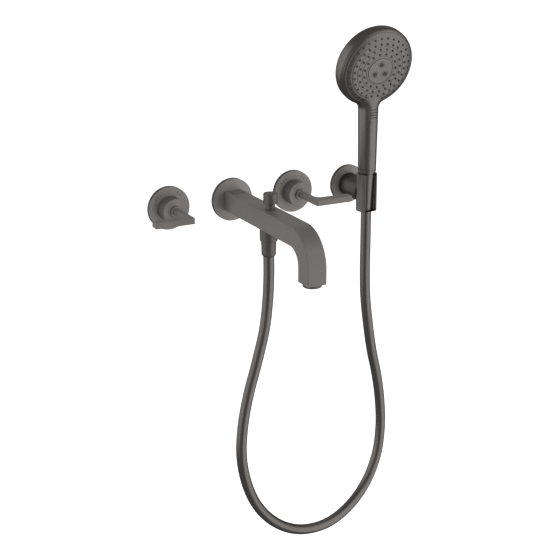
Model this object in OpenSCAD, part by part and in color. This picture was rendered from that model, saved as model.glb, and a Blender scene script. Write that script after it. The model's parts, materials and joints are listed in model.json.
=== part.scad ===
// Wall mounted bath set: two lever handles, a spout with a pull-up diverter, a hose and a hand shower in its holder.
// X runs along the wall, +Y points into the wall, +Z is up. The origin is the centre of the spout's wall plate,
// on the wall. Sizes are millimetres. Parts on the wall are drawn along +Z and turned by on_wall() to point outward.

/* [Wall plates] */
// Diameter of the wall plates behind the handles and the spout
plate_d = 63; // [60:0.5:66]
// Diameter of the wall plate behind the holder
holder_plate_d = 58; // [54:0.5:62]
// Thickness of every wall plate
plate_t = 6.8; // [6.4:0.1:8]
// Distance from the spout to each handle
handle_x = 100; // [80:1:120]
// Distance from the spout to the holder
holder_x = 195; // [180:1:220]

/* [Handles] */
// Diameter of the round handle hub
hub_d = 36.8; // [35:0.2:40]
// Distance from the wall to the hub's front face
hub_front = 28; // [28:0.5:32]
// Distance from the wall to the front of the lever bar
lever_front = 86; // [70:1:100]
// Distance from the handle axis to the tip of the lever bar
lever_reach = 54; // [40:1:70]
// Width of the lever stem
lever_stem_w = 7.8; // [6:0.2:10]
// Depth of the lever bar, front to back
lever_bar_d = 14.6; // [10:0.2:18]
// Height of the lever stem and bar
lever_h = 8.8; // [7:0.2:10]

/* [Spout] */
// Side of the spout's square section
spout_w = 28; // [26:0.5:30]
// Distance from the wall to the front of the spout
spout_reach = 257; // [220:1:280]
// Distance from the spout's axis down to its lower end
spout_drop = 57.5; // [54:0.5:70]
// Outer radius of the spout's bend
bend_r = 51.5; // [46:0.5:52]
// Distance from the wall to the diverter knob's axis
diverter_y = 124.5; // [100:0.5:140]
// Lift of the diverter knob
diverter_lift = 7; // [4:0.5:7]
// Distance from the wall to the hose outlet's axis
outlet_y = 119; // [95:0.5:135]

/* [Holder] */
// Distance from the wall to the axis of the holder's sleeve
sleeve_y = 58.4; // [54:0.2:64]
// Outer diameter of the holder's sleeve
sleeve_d = 30.8; // [30:0.2:33]
// Diameter of the holder's arm
arm_d = 34.8; // [30:0.2:38]
// Half height of the holder's sleeve
sleeve_half_h = 28; // [24:0.5:32]
// Width of the slot that the hose slips through
slot_w = 17.2; // [16.4:0.2:18.4]

/* [Hose] */
// Outer diameter of the hose
hose_d = 15; // [13:0.5:15.5]

/* [Hand shower] */
// Diameter of the spray head
head_d = 120; // [116:1:124]
// Distance from the wall to the middle of the spray face
head_y = 84.1; // [82:0.1:88]
// Height of the middle of the spray face above the spout's axis
head_z = 185.3; // [180:0.1:190]
// Angle of the spray face below straight ahead
head_tilt = 17; // [14:0.5:20]
// Diameter of the handle at its lower end
handle_low_d = 26.8; // [25:0.2:28]
// Diameter of the handle at the neck
handle_top_d = 29.8; // [28:0.2:31]
// Number of spray nozzles in the outer ring
outer_nozzles = 30; // [20:1:32]

/* [Hidden] */

metal = [0.41, 0.40, 0.39];
dark = [0.12, 0.12, 0.12];
brass = [0.72, 0.60, 0.32];
ceramic = [0.92, 0.91, 0.88];
fine = 96;          // facets on round metal parts
thread_r = 10.48;   // outside of a half-inch parallel pipe thread
inlet_len = 16;     // length of an inlet stub behind the wall plane
bore_r = 6;         // waterway through an inlet stub
shoulder_h = 4;     // height of an inlet stub's shoulder in front of the wall plane
gap = 0.4;          // clearance between parts that move past each other
shaft_gap = 0.05;   // radial clearance of a shaft in its bearing
lever_up = 1;       // height of the lever's middle above the handle axis
half = spout_w / 2;
bend_y = spout_reach - bend_r;
bend_z = half - bend_r;

// ---- shared helpers ----

// Turns a part drawn along +Z so that it points out of the wall
module on_wall(x) translate([x, 0, 0]) rotate([90, 0, 0]) children();

// Puts a part drawn along +Z on the spray head, with +Z out of the spray face
module on_head() translate([holder_x, -head_y, head_z]) rotate([90 + head_tilt, 0, 0]) children();

// A tube between two heights
module tube(r_out, r_in, z0, z1) {
    translate([0, 0, z0]) difference() {
        cylinder(h = z1 - z0, r = r_out, $fn = fine);
        translate([0, 0, -1]) cylinder(h = z1 - z0 + 2, r = r_in, $fn = fine);
    }
}

// A square with slightly rounded corners, as a plain outline
module soft_square(side, r) {
    square([side - 2 * r, side], center = true);
    square([side, side - 2 * r], center = true);
    for (x = [-1, 1], y = [-1, 1]) translate([x * (side / 2 - r), y * (side / 2 - r)]) circle(r = r, $fn = 32);
}

// A round wall plate: flat back, rounded front edge, hollow behind
module wall_plate(d, t, hole_r, hollow_r, hollow_t) {
    edge = 2.2;
    arc = [for (a = [0:15:90]) [d / 2 - edge + edge * cos(a), t - edge + edge * sin(a)]];
    difference() {
        rotate_extrude($fn = 120) polygon(concat([[hole_r, 0], [d / 2, 0]], arc, [[hole_r, t]]));
        translate([0, 0, -1]) cylinder(h = hollow_t + 1, r = hollow_r, $fn = fine);
    }
}

// An inlet stub with a pipe thread outside, its shoulder seated in the wall plate
module inlet_stub(shoulder_r) {
    difference() {
        union() {
            translate([0, 0, -inlet_len]) cylinder(h = inlet_len, r = thread_r, $fn = fine);
            cylinder(h = shoulder_h, r = shoulder_r, $fn = fine);
        }
        translate([0, 0, -inlet_len - 1]) cylinder(h = inlet_len + 6, r = bore_r, $fn = fine);
    }
}

// ---- one handle with its quarter-turn valve, mirrored by side = -1 or 1 ----

plate_hole_r = 13.6;
valve_r = 13.4;
disc_r = 8.9;
port_r = 1.8;
port_at = 3.9;
disc_joint = 9;     // height at which the two discs meet
spindle_r = 4;
spindle_top = 26;
screw_at = 23.8;    // height of the hub's set screw

module handle_plate() color(metal) wall_plate(plate_d, plate_t, plate_hole_r, 26, 3);

module handle_inlet() color(brass) inlet_stub(valve_r);

module valve_body() color(brass) tube(valve_r, disc_r + 0.1, shoulder_h, 20);

module valve_gland() color(brass) tube(disc_r + 0.1, spindle_r + shaft_gap, 15, 20);

// The ceramic disc that stays still, with two ports
module fixed_disc() color(ceramic) difference() {
    translate([0, 0, shoulder_h]) cylinder(h = disc_joint - shoulder_h, r = disc_r, $fn = fine);
    for (s = [-1, 1]) translate([0, s * port_at, shoulder_h - 1]) cylinder(h = 8, r = port_r, $fn = 48);
}

// The ceramic disc that turns with the lever, with one port
module moving_disc() color(ceramic) difference() {
    translate([0, 0, disc_joint + 0.3]) cylinder(h = 2.6, r = disc_r - gap, $fn = fine);
    translate([port_at, 0, disc_joint]) cylinder(h = 4, r = port_r, $fn = 48);
}

module valve_spindle() color(brass) translate([0, 0, disc_joint + 2.9]) {
    flange_h = 2.6;
    cylinder(h = flange_h, r = disc_r - gap, $fn = fine);
    cylinder(h = spindle_top - disc_joint - 2.9, r = spindle_r, $fn = fine);
}

// The hub: a cup that covers the valve and grips the spindle
module hub() color(metal) {
    chamfer = 0.6;
    difference() {
        rotate_extrude($fn = 120) polygon([[0, plate_t + gap], [hub_d / 2, plate_t + gap],
            [hub_d / 2, hub_front - chamfer], [hub_d / 2 - chamfer, hub_front], [0, hub_front]]);
        translate([0, 0, plate_t]) cylinder(h = 21.6 - plate_t, r = valve_r + 1, $fn = fine);
        translate([0, 0, 20]) cylinder(h = spindle_top - 20, r = spindle_r, $fn = fine);
        translate([0, 0, screw_at]) rotate([90, 0, 0]) cylinder(h = 20, r = 1.7, $fn = 32);
    }
}

boss_h = 3;

module hub_boss() color(metal) translate([0, 0, hub_front]) cylinder(h = boss_h, r = 8.4, $fn = fine);

// The lever seen from above: a stem out of the boss, a filleted inner corner and a bar to one side
module lever(side) {
    fillet = 9;
    stem = lever_stem_w / 2;
    start = hub_front + boss_h;
    back = lever_front - lever_bar_d;
    color(metal) mirror([side < 0 ? 1 : 0, 0, 0]) translate([0, lever_up + lever_h / 2, 0]) rotate([90, 0, 0])
        linear_extrude(lever_h) {
            translate([-stem, start]) square([lever_stem_w, lever_front - start]);
            translate([-stem, back]) square([lever_reach + stem, lever_bar_d]);
            difference() {
                translate([stem, back - fillet]) square([fillet, fillet]);
                translate([stem + fillet, back - fillet]) circle(r = fillet, $fn = 64);
            }
        }
}

module hub_set_screw() color(dark) translate([0, -spindle_r, screw_at]) rotate([90, 0, 0])
    cylinder(h = 9, r = 1.7, $fn = 32);

// ---- spout ----

water_r = 8;
aerator_y = spout_reach - half;
port_y = outlet_y + 3;
seat_z = -7.8;          // floor of the diverter plug's seat
plug_r = 5.2;
plug_top = -4;
spring_room = 5.4;      // room that the closed diverter spring needs
bonnet_low = plug_top + diverter_lift + spring_room;

module spout_plate() color(metal) wall_plate(plate_d, plate_t, plate_hole_r, 26, 3);

// The spout's inlet, with a nipple that the spout slides on to
module spout_inlet() color(brass) difference() {
    union() {
        inlet_stub(valve_r);
        translate([0, 0, shoulder_h]) cylinder(h = plate_t - shoulder_h, r = valve_r, $fn = fine);
        translate([0, 0, plate_t]) cylinder(h = 17, r = water_r, $fn = 64);
    }
    translate([0, 0, -inlet_len - 1]) cylinder(h = inlet_len + plate_t + 20, r = bore_r, $fn = fine);
}

// An outline swept along the spout: a straight arm, a quarter bend and a short drop
module along_spout() {
    translate([0, -plate_t, 0]) rotate([90, 0, 0]) linear_extrude(bend_y - plate_t) children();
    translate([0, -bend_y, bend_z]) rotate([0, -90, 0]) rotate([180, 0, 0])
        rotate_extrude(angle = 90, $fn = 160) translate([bend_r - half, 0]) children();
    translate([0, -aerator_y, -spout_drop]) linear_extrude(bend_z + spout_drop) children();
}

module spout_body() color(metal) difference() {
    along_spout() soft_square(spout_w, 1.2);
    along_spout() circle(r = water_r, $fn = 64);
    translate([0, 1 - plate_t, 0]) rotate([90, 0, 0]) cylinder(h = 8, r = water_r, $fn = 64);
    translate([0, -aerator_y, -spout_drop - 1]) cylinder(h = 10, r = 11.4, $fn = fine);
    translate([0, -diverter_y, bonnet_low - 3]) cylinder(h = half, r = 6, $fn = fine);
    translate([0, -diverter_y, seat_z]) cylinder(h = -seat_z, r = plug_r + gap, $fn = 64);
    translate([0, -port_y, -half - 1]) cylinder(h = 10, r = 2.6, $fn = 48);
    translate([0, -spout_screw_y, -half - 1]) cylinder(h = half, r = 2, $fn = 32);
}

spout_screw_y = plate_t + 9;

module spout_set_screw() color(dark) translate([0, -spout_screw_y, 0.6 - half])
    cylinder(h = half - 0.6 - water_r, r = 2, $fn = 32);

// A threaded sleeve in the spout's mouth with a chamfered lip below
module aerator_housing() color(metal) translate([0, -aerator_y, -spout_drop]) difference() {
    rotate_extrude($fn = 120) polygon([[10.4, -4.4], [12, -4.4], [12.9, -3.5], [12.9, 0], [11.4, 0], [11.4, 9],
        [10.4, 9]]);
    translate([0, 0, -10]) cylinder(h = 30, r = 10.4, $fn = fine);
}

module aerator_insert() color(dark) translate([0, -aerator_y, -spout_drop]) difference() {
    translate([0, 0, -2.4]) cylinder(h = 9, r = 10.4, $fn = fine);
    for (ring = [1:3], i = [0:6 * ring - 1])
        rotate(i * 60 / ring) translate([ring * 2.8, 0, -3]) cylinder(h = 2, r = 0.9, $fn = 16);
}

module diverter_bonnet() color(metal) translate([0, -diverter_y, 0]) {
    tube(6.3, stem_r + shaft_gap, half, 22.4);
    tube(6, stem_r + shaft_gap, bonnet_low, half);
}

stem_r = 3;
stem_top = 32;
seat_gap = 0.4;

module diverter_stem() color(brass) translate([0, -diverter_y, plug_top])
    cylinder(h = stem_top - plug_top, r = stem_r, $fn = 64);

module diverter_plug() color(dark) translate([0, -diverter_y, seat_z + seat_gap])
    cylinder(h = plug_top - seat_z - seat_gap, r = plug_r, $fn = 64);

module diverter_knob() color(metal) translate([0, -diverter_y, 0]) difference() {
    rotate_extrude($fn = 120) polygon([[0, 23.2], [9.6, 23.2], [10, 23.6], [10, 37], [9.4, 37.7], [0, 37.7]]);
    translate([0, 0, 20]) cylinder(h = stem_top - 20, r = stem_r, $fn = 64);
}

// A round wire coil between the plug and the bonnet
module diverter_spring() {
    turns = 4;
    steps = 14;
    wire = 0.35;
    coil = 4.2;
    low = plug_top + 0.65;
    high = bonnet_low - 0.6;
    sides = 8;
    n = turns * steps;
    pts = [for (i = [0:n], k = [0:sides - 1])
        let (a = 360 * i / steps, b = 360 * k / sides, r = coil + wire * cos(b))
        [r * cos(a), r * sin(a), low + (high - low) * i / n + wire * sin(b)]];
    color("silver") translate([0, -diverter_y, 0]) polyhedron(points = pts, faces = tube_faces(n + 1, sides));
}

// ---- hose outlet and hose ----

outlet_bottom = -31.5;
nut_bottom = -54.6;

module hose_outlet() color(metal) translate([0, -outlet_y, 0]) {
    tube(12.6, 5.6, outlet_bottom, -half);
    tube(8.4, 5.6, -44, outlet_bottom);
}

module lower_hose_washer() color(dark) translate([0, -outlet_y, 0]) tube(8.3, 5, -46, -44);

module lower_hose_nut() color(metal) translate([0, -outlet_y, 0]) difference() {
    rotate_extrude($fn = 120) polygon([[0, outlet_bottom], [10.8, outlet_bottom], [10.1, -51.4], [8, nut_bottom],
        [0, nut_bottom]]);
    translate([0, 0, -46]) cylinder(h = 20, r = 8.4, $fn = fine);
    translate([0, 0, -60]) cylinder(h = 20, r = 5, $fn = fine);
}

upper_nut_bottom = -27.5;

// The hose's centreline from the outlet round its loop to the hand shower, chosen by hand
hose_route = [[0, -outlet_y, nut_bottom], [0, -119, -85], [-2, -119, -122], [-9, -122, -162], [-23, -126, -207],
    [-39, -131, -251], [-50, -134, -297], [-53, -135, -344], [-44, -133, -390], [-24, -126, -433], [5, -117, -469],
    [41, -106, -497], [82, -93, -515], [127, -80, -520], [171, -66, -509], [207, -55, -482], [230, -48, -442],
    [238, -45, -396], [235, -46, -348], [226, -49, -302], [214, -52, -257], [204, -56, -211], [197, -58, -164],
    [195, -58.4, -120], [195, -58.4, -85], [195, -58.4, -55], [holder_x, -sleeve_y, upper_nut_bottom]];

// A smooth curve through four neighbouring points
function spline(a, b, c, d, t) =
    0.5 * (2 * b + (c - a) * t + (2 * a - 5 * b + 4 * c - d) * t * t + (3 * b - a - 3 * c + d) * t * t * t);

function route_end(p) = len(p) - 1;

// Points along a smooth curve, cuts of them in each stretch of the route
function smooth_route(p, cuts) = concat(
    [for (i = [0:route_end(p) - 1], k = [0:cuts - 1])
        spline(p[max(i - 1, 0)], p[i], p[i + 1], p[min(i + 2, route_end(p))], k / cuts)],
    [p[route_end(p)]]);

function unit(v) = v / norm(v);

function heading(p, i) = unit(p[min(i + 1, route_end(p))] - p[max(i - 1, 0)]);

// Faces of a swept tube of so many rings and sides, closed at both ends
function tube_faces(rings, sides) = concat(
    [[for (k = [0:sides - 1]) k]],
    [for (i = [0:rings - 2], k = [0:sides - 1]) let (a = i * sides, b = a + sides, next = (k + 1) % sides)
        [a + k, b + k, b + next, a + next]],
    [[for (k = [sides - 1:-1:0]) (rings - 1) * sides + k]]);

// One tube swept along the route; the first and last rings lie flat against the nuts
module hose_tube() {
    sides = 12;
    line = smooth_route(hose_route, 2);
    last = route_end(line);
    across = unit([sleeve_y - outlet_y, -holder_x, 0]);
    pts = [for (i = [0:last], k = [0:sides - 1])
        let (fore = i == 0 ? [0, 0, -1] : i == last ? [0, 0, 1] : heading(line, i),
            side = unit(across - (across * fore) * fore),
            over = cross(fore, side),
            a = 360 * k / sides)
        line[i] + hose_d / 2 * (cos(a) * side + sin(a) * over)];
    color(metal) polyhedron(points = pts, faces = tube_faces(last + 1, sides));
}

// ---- holder ----

module holder_plate() color(metal) on_wall(holder_x) wall_plate(holder_plate_d, plate_t, 8, 24.5, 5.6);

module holder_wall_disc() color(brass) on_wall(holder_x) difference() {
    union() {
        cylinder(h = 3, r = 23, $fn = fine);
        translate([0, 0, 3]) cylinder(h = plate_t - 3, r = 8, $fn = fine);
    }
    for (s = [-1, 1]) translate([s * 16, 0, -1]) cylinder(h = 5, r = 3, $fn = 48);
}

// Two wall studs, each with a thicker shank in the disc and a round nut
module holder_studs() color(dark) on_wall(holder_x) for (s = [-1, 1]) translate([s * 16, 0, 0]) {
    translate([0, 0, -12]) cylinder(h = 13, r = 2.5, $fn = 48);
    cylinder(h = 3, r = 3, $fn = 48);
    translate([0, 0, 3]) cylinder(h = 2.2, r = 4.5, $fn = 48);
}

module holder_arm() color(metal) difference() {
    on_wall(holder_x) translate([0, 0, plate_t]) cylinder(h = sleeve_y - plate_t - 5, r = arm_d / 2, $fn = 120);
    translate([holder_x, -sleeve_y, -40]) cylinder(h = 80, r = sleeve_d / 2, $fn = 120);
}

cone_top_r = 11.2;
cone_low_r = 7.9;
cone_top = 31;

liner_r = 12.2;

// The slotted sleeve
module holder_sleeve() color(metal) translate([holder_x, -sleeve_y, 0]) difference() {
    translate([0, 0, -sleeve_half_h]) cylinder(h = 2 * sleeve_half_h, r = sleeve_d / 2, $fn = 120);
    translate([0, 0, -sleeve_half_h - 1]) cylinder(h = 2 * sleeve_half_h + 2, r = liner_r, $fn = fine);
    translate([-slot_w / 2, -40, -40]) cube([slot_w, 40, 80]);
}

// A plastic lining whose bore follows the cone of the hose nut
module sleeve_liner() color(dark) translate([holder_x, -sleeve_y, 0]) difference() {
    play = 0.35;
    end = sleeve_half_h - 0.5;
    rotate_extrude($fn = fine) polygon([[cone_low_r + play, -end], [liner_r, -end], [liner_r, end],
        [cone_top_r + play, end]]);
    translate([-slot_w / 2, -40, -40]) cube([slot_w, 40, 80]);
}

// ---- hose end and hand shower ----

module upper_hose_nut() color(metal) translate([holder_x, -sleeve_y, 0]) difference() {
    rotate_extrude($fn = 120) polygon([[0, upper_nut_bottom], [cone_low_r, upper_nut_bottom],
        [cone_top_r, cone_top - 2], [cone_top_r, cone_top], [0, cone_top]]);
    translate([0, 0, cone_top - 13]) cylinder(h = 20, r = 9, $fn = fine);
    translate([0, 0, -40]) cylinder(h = 100, r = 5, $fn = fine);
}

module upper_hose_washer() color(dark) translate([holder_x, -sleeve_y, 0])
    tube(8.9, 5, cone_top - 13, cone_top - 11);

handle_low = cone_top + gap;
water_tube_r = 5.5;
water_tube_top = 136.5;
button_z = 118;
button_y = sleeve_y + handle_top_d / 2;     // the neck's front, at the button
button_w = 6;

// The way of the water tube from the handle into the head
module water_way() translate([holder_x, -sleeve_y, 110])
    cylinder(h = water_tube_top - 108, r = water_tube_r, $fn = 64);

// The space that the spray head fills, so that the handle stops at it
module head_space() rotate_extrude($fn = 120) polygon(concat([[0, -27]], shell_back, [[head_d / 2, -6], [57, 2],
    [20, 8], [0, 8]]));

// The back of the head in section: a flat middle that rounds into the side band
shell_back = [for (a = [0:10:90]) [44 + 16 * sin(a), -27 + 11 * (1 - cos(a))]];

module handle_shell() color(metal) difference() {
    translate([holder_x, -sleeve_y, 0]) union() {
        translate([0, 0, handle_low + 3]) cylinder(h = 90, r1 = handle_low_d / 2, r2 = handle_top_d / 2, $fn = fine);
        translate([0, 0, handle_low + 93]) cylinder(h = 10, r = handle_top_d / 2, $fn = fine);
        translate([0, 0, handle_low + 103]) sphere(r = handle_top_d / 2, $fn = 48);
    }
    on_head() head_space();
    water_way();
    translate([holder_x, -sleeve_y, 0]) cylinder(h = 122, r = 9.6, $fn = fine);
    translate([holder_x, -button_y - 3, button_z]) rotate([-90, 0, 0]) linear_extrude(6) button_outline(0.35);
}

// A separate ring at the handle's foot, below a fine groove
module handle_collar() color(metal) translate([holder_x, -sleeve_y, 0]) difference() {
    union() {
        translate([0, 0, handle_low]) cylinder(h = 3, r = handle_low_d / 2, $fn = fine);
        tube(8.94, 5, handle_low - 10, handle_low);
    }
    translate([0, 0, handle_low - 1]) cylinder(h = 5, r = 5, $fn = fine);
}

module handle_water_tube() color("white") translate([holder_x, -sleeve_y, 0])
    tube(water_tube_r, 4, handle_low + 3, water_tube_top);

// The back half of the head: a shallow round cup with a hole for the water tube
module head_shell() color(metal) difference() {
    on_head() rotate_extrude($fn = 120) polygon(concat([[0, -27]], shell_back, [[head_d / 2, -6], [57.6, -2],
        [56.4, -0.6], [54.6, -0.6], [54.6, -15], [43, -24.4], [0, -24.4]]));
    water_way();
}

module water_chamber() color("white") on_head() translate([0, 0, -12]) cylinder(h = 8, r = 52, $fn = fine);

// Height of the gently domed spray face at a distance from its middle
function face_height(r) = 5.2 * (1 - pow(max(r - 19.6, 0) / 34.9, 1.35));

// The rings of nozzles: radius, count, start angle
outer_rings = [[48.6, outer_nozzles, -90 + 180 / outer_nozzles], [40.8, 26, 0]];
inner_rings = [[33.2, 20, -81], [25.8, 15, -90]];
nozzle_r = 1.35;

// A cylinder at each nozzle of some rings, from the water chamber to a height above the face
module nozzles(rings, r, above) for (ring = rings, i = [0:ring[1] - 1]) rotate(ring[2] + 360 * i / ring[1])
    translate([ring[0], 0, -4]) cylinder(h = 4 + face_height(ring[0]) + above, r = r, $fn = 24);

module spray_face() color(metal) on_head() difference() {
    outline = [for (r = [19.6:3.49:54.6]) [r, face_height(r)]];
    rotate_extrude($fn = 120) polygon(concat([[19.6, -4]], outline, [[54.5, -4]]));
    translate([0, 0, -1]) nozzles(concat(outer_rings, inner_rings), nozzle_r + 0.1, 4);
}

module centre_disc() color(metal) on_head() difference() {
    translate([0, 0, -4]) cylinder(h = 9.6, r = 19.5, $fn = fine);
    for (i = [0:2]) rotate(90 + 120 * i) translate([9.4, 0, 4]) cylinder(h = 4, r = 3.3, $fn = 48);
}

module outer_nozzle_rings() color(dark) on_head() nozzles(outer_rings, nozzle_r, 0.9);

module inner_nozzle_rings() color(dark) on_head() nozzles(inner_rings, nozzle_r, 0.9);

// Three spray inserts in the middle of the face
module centre_nozzles() color(dark) on_head() for (i = [0:2]) rotate(90 + 120 * i) translate([9.4, 0, 4])
    cylinder(h = 1.9, r = 3.3, $fn = 48);

// A slot-shaped outline for the button, grown by an amount
module button_outline(grow) {
    w = button_w + grow;
    for (s = [-1, 1]) translate([0, s * 6.5]) circle(r = w, $fn = 64);
    square([2 * w, 13], center = true);
}

// The spray button on the front of the neck, with three raised lines
module spray_button() color(metal) translate([holder_x, -button_y - 0.6, button_z])
    rotate([-90, 0, 0]) {
        linear_extrude(2) button_outline(0);
        for (i = [-1:1]) translate([-3.5, 6 + i * 2.4 - 0.4, -0.5]) cube([7, 0.8, 0.6]);
    }

// A thin spring washer on the floor of the button's recess
module button_spring() color("silver") translate([holder_x, -button_y + 3, button_z])
    rotate([90, 0, 0]) tube(4, 2.6, 0, 0.3);

// ---- everything in place ----

on_wall(0) spout_plate();
on_wall(0) spout_inlet();
spout_body();
spout_set_screw();
aerator_housing();
aerator_insert();
diverter_bonnet();
diverter_stem();
diverter_plug();
diverter_knob();
diverter_spring();
hose_outlet();
lower_hose_washer();
lower_hose_nut();
hose_tube();
on_wall(-handle_x) handle_plate();  // left_plate
on_wall(-handle_x) handle_inlet();  // left_inlet
on_wall(-handle_x) valve_body();  // left_valve_body
on_wall(-handle_x) valve_gland();  // left_gland
on_wall(-handle_x) fixed_disc();  // left_fixed_disc
on_wall(-handle_x) moving_disc();  // left_moving_disc
on_wall(-handle_x) valve_spindle();  // left_spindle
on_wall(-handle_x) hub();  // left_hub
on_wall(-handle_x) hub_boss();  // left_boss
on_wall(-handle_x) lever(-1);  // left_lever
on_wall(-handle_x) hub_set_screw();  // left_set_screw
on_wall(handle_x) handle_plate();  // right_plate
on_wall(handle_x) handle_inlet();  // right_inlet
on_wall(handle_x) valve_body();  // right_valve_body
on_wall(handle_x) valve_gland();  // right_gland
on_wall(handle_x) fixed_disc();  // right_fixed_disc
on_wall(handle_x) moving_disc();  // right_moving_disc
on_wall(handle_x) valve_spindle();  // right_spindle
on_wall(handle_x) hub();  // right_hub
on_wall(handle_x) hub_boss();  // right_boss
on_wall(handle_x) lever(1);  // right_lever
on_wall(handle_x) hub_set_screw();  // right_set_screw
holder_plate();
holder_wall_disc();
holder_studs();
holder_arm();
holder_sleeve();
sleeve_liner();
upper_hose_nut();
upper_hose_washer();
handle_shell();
handle_collar();
handle_water_tube();
head_shell();
water_chamber();
spray_face();
centre_disc();
outer_nozzle_rings();
inner_nozzle_rings();
centre_nozzles();
spray_button();
button_spring();
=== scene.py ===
"""The looks of a wall mounted bath set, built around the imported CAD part.
"""

import json
import math

import bmesh
import bpy
import numpy as np
from mathutils import Matrix, Vector


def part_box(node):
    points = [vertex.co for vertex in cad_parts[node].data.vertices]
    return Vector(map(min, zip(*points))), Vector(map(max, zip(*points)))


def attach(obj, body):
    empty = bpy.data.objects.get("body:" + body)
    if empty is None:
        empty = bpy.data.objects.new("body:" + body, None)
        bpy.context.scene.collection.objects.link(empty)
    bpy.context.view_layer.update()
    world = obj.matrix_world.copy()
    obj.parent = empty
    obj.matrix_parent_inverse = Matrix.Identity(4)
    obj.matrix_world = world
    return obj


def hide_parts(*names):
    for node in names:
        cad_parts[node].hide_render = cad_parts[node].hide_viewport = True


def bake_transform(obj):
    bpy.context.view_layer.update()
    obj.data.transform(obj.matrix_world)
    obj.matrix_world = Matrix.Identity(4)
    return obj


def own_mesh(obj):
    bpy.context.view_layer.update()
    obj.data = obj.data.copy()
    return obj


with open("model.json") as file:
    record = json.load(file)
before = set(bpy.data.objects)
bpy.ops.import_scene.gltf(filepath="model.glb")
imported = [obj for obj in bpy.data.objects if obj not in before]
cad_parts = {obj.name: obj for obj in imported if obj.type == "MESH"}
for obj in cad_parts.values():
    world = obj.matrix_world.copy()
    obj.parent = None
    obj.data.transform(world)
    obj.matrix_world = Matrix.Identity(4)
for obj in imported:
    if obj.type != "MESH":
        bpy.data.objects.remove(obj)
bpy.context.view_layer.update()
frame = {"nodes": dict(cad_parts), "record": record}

MM = 0.001
FINE = 144          # facets round a turned piece
WIDE_FINE = 180     # facets round a wide one


def node_box(node):
    """A CAD node's lowest and highest corners, in millimetres."""
    lo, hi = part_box(node)
    return Vector(lo) / MM, Vector(hi) / MM


def middle(node):
    lo, hi = node_box(node)
    return (lo + hi) / 2


def half_width(node):
    """Half of a CAD node's width along X, which is the radius of a turned one."""
    lo, hi = node_box(node)
    return (hi.x - lo.x) / 2


# -------- camera

CAM_AZIMUTH, CAM_ELEVATION = -27.98, 18.56
CAM_DISTANCE = 2002
CAM_TARGET = Vector((47.5, -63, -113.7))
CAM_LENS = 88.3


def linked(name, data):
    made = bpy.data.objects.new(name, data)
    bpy.context.scene.collection.objects.link(made)
    return made


def aimed(name, data, place, ahead):
    """A camera or a lamp at a place, looking ahead."""
    made = linked(name, data)
    made.location = place * MM
    made.rotation_mode = "QUATERNION"
    made.rotation_quaternion = ahead.to_track_quat("-Z", "Y")
    return made


def make_camera():
    azimuth, elevation = math.radians(CAM_AZIMUTH), math.radians(CAM_ELEVATION)
    back = Vector((math.sin(azimuth) * math.cos(elevation),
                   -math.cos(azimuth) * math.cos(elevation), math.sin(elevation)))
    data = bpy.data.cameras.new("camera")
    data.lens = CAM_LENS
    data.sensor_width = 36
    data.clip_start, data.clip_end = 0.05, 60
    bpy.context.scene.camera = aimed("camera", data, CAM_TARGET + back * CAM_DISTANCE, -back)


make_camera()

# -------- mesh helpers


def add_object(name, vertices, faces, smooth_angle=35):
    """A mesh object from points in millimetres, smooth except where faces meet at more than an angle."""
    mesh = bpy.data.meshes.new(name)
    mesh.from_pydata([tuple(c * MM for c in v) for v in vertices], [], faces)
    work = bmesh.new()
    work.from_mesh(mesh)
    bmesh.ops.recalc_face_normals(work, faces=work.faces)
    work.to_mesh(mesh)
    work.free()
    mesh.shade_smooth()
    mesh.set_sharp_from_angle(angle=math.radians(smooth_angle))
    return linked(name, mesh)


def flat_faces(piece):
    """Keeps large flat faces flat in the shading next to rounded edges."""
    modifier = piece.modifiers.new("flat_faces", "WEIGHTED_NORMAL")
    modifier.weight = 100
    modifier.keep_sharp = True
    return piece


def rounded(corners, steps=5):
    """An outline with its corners rounded: each corner is (x, y) or (x, y, radius)."""
    out = []
    count = len(corners)
    for i, corner in enumerate(corners):
        here = Vector(corner[:2])
        radius = corner[2] if len(corner) > 2 else 0
        if not radius:
            out.append(tuple(here))
            continue
        before = (Vector(corners[i - 1][:2]) - here).normalized()
        after = (Vector(corners[(i + 1) % count][:2]) - here).normalized()
        half = before.angle(after) / 2
        reach = radius / math.tan(half)
        centre = here + (before + after).normalized() * (radius / math.sin(half))
        start, end = here + before * reach - centre, here + after * reach - centre
        sweep = math.atan2(start.x * end.y - start.y * end.x, start.dot(end))
        for k in range(steps + 1):
            turn = Matrix.Rotation(sweep * k / steps, 2)
            out.append(tuple(centre + turn @ start))
    return out


def oblong(half_w, half_h, radius, steps):
    """A rectangle with rounded corners, round the middle."""
    corners = ((-half_w, -half_h), (half_w, -half_h), (half_w, half_h), (-half_w, half_h))
    return rounded([(x, y, radius) for x, y in corners], steps)


def lathe(name, outline, place=Matrix(), sides=FINE, smooth_angle=35):
    """A turned solid: the closed outline (radius, height) goes round +Z and is then put in place."""
    vertices, rings = [], []
    for radius, height in outline:
        if radius < 1e-6:
            rings.append([len(vertices)])
            vertices.append(Vector((0, 0, height)))
            continue
        rings.append(list(range(len(vertices), len(vertices) + sides)))
        for k in range(sides):
            a = 2 * math.pi * k / sides
            vertices.append(Vector((radius * math.cos(a), radius * math.sin(a), height)))
    faces = []
    closed = outline[0][0] > 1e-6 and outline[-1][0] > 1e-6
    for i in range(len(rings) if closed else len(rings) - 1):
        low, high = rings[i], rings[(i + 1) % len(rings)]
        for k in range(sides):
            n = (k + 1) % sides
            if len(low) == 1 and len(high) > 1:
                faces.append((low[0], high[n], high[k]))
            elif len(high) == 1 and len(low) > 1:
                faces.append((low[k], low[n], high[0]))
            elif len(low) > 1:
                faces.append((low[k], low[n], high[n], high[k]))
    return flat_faces(add_object(name, [place @ v for v in vertices], faces, smooth_angle))


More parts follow.
